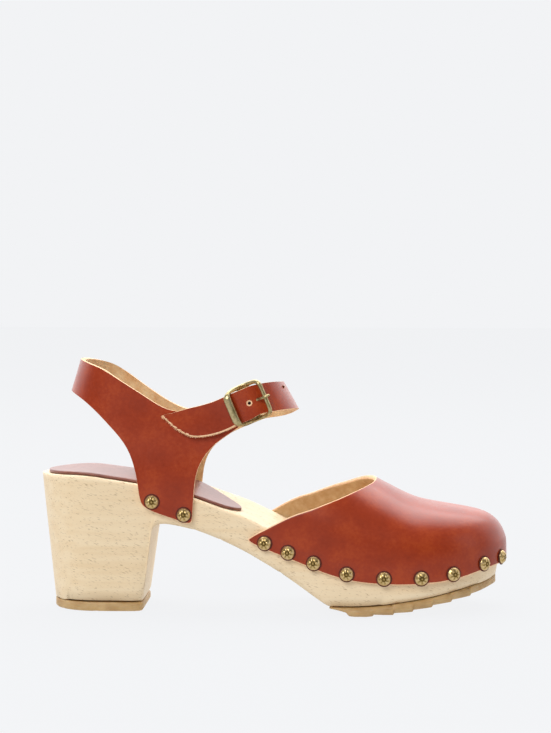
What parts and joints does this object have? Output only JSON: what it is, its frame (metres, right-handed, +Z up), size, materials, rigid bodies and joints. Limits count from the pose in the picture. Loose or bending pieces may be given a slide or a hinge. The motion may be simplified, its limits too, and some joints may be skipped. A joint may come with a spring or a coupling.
{
  "type": "clog sandal",
  "caption": "Closed-toe clog sandal for the right foot, wooden sole with a block heel, nailed leather vamp and a buckled strap round the ankle.",
  "frame": {"origin": "centre of the heel lift's rest face, on the floor", "axes": "+X from the heel to the toe, +Y to the inner side of the foot, +Z up"},
  "size_m": [0.2422, 0.0926, 0.129],
  "materials": {
    "beech": "sanded pale beech with short flecks, thin clear lacquer",
    "tread_rubber": "tan crepe-coloured rubber, ribbed",
    "lift_rubber": "tan rubber, fine serration",
    "sock_leather": "thin smooth leather, glossy",
    "upper_leather": "full-grain red-brown leather, waxed, pale raw edges",
    "strap_leather": "full-grain red-brown leather, waxed, pale raw edges",
    "frame_brass": "cast, antiqued",
    "prong_brass": "drawn wire, antiqued",
    "nail_brass": "pressed heads, lightly antiqued"
  },
  "bodies": {
    "root": {"wooden_sole": "beech", "outsole": "tread_rubber", "heel_lift": "lift_rubber", "insole_sock": "sock_leather", "vamp": "upper_leather", "quarter_strap": "strap_leather", "buckle_frame": "frame_brass", "buckle_prong": "prong_brass", "nail_outer_1": "nail_brass", "nail_outer_2": "nail_brass", "nail_outer_3": "nail_brass", "nail_outer_4": "nail_brass", "nail_outer_5": "nail_brass", "nail_outer_6": "nail_brass", "nail_outer_7": "nail_brass", "nail_outer_8": "nail_brass", "nail_outer_9": "nail_brass", "nail_inner_1": "nail_brass", "nail_inner_2": "nail_brass", "nail_inner_3": "nail_brass", "nail_inner_4": "nail_brass", "nail_inner_5": "nail_brass", "nail_inner_6": "nail_brass", "nail_inner_7": "nail_brass", "nail_inner_8": "nail_brass", "nail_inner_9": "nail_brass", "nail_stem_outer_1": "nail_brass", "nail_stem_outer_2": "nail_brass", "nail_stem_inner_1": "nail_brass", "nail_stem_inner_2": "nail_brass"}
  },
  "joints": []
}
